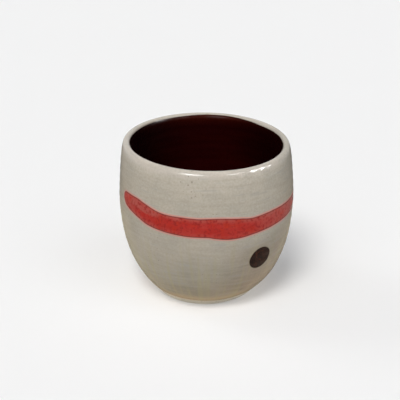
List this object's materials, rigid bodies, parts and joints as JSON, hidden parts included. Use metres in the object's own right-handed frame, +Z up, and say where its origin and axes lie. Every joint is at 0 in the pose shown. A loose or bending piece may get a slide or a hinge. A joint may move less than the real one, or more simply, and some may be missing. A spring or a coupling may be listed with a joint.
{
  "type": "mug",
  "caption": "Handleless thrown stoneware mug with a bare foot ring, pale outside glaze, dark liner glaze, a brushed red band and a brown dot.",
  "frame": {"origin": "centre of the foot ring's flat underside, where the mug stands on the table", "axes": "+Z up along the mug's turning axis, out of its mouth; -Y is the front that the picture shows, +X to its right"},
  "size_m": [0.09, 0.09, 0.081],
  "materials": {
    "bare_stoneware": "matte",
    "pale_glaze": "gloss",
    "dark_glaze": "gloss",
    "red_glaze": "gloss",
    "brown_glaze": "gloss"
  },
  "bodies": {
    "root": {"stoneware_body": "bare_stoneware", "outer_glaze": "pale_glaze", "liner_glaze": "dark_glaze", "red_band": "red_glaze", "brown_dot": "brown_glaze"}
  },
  "joints": []
}
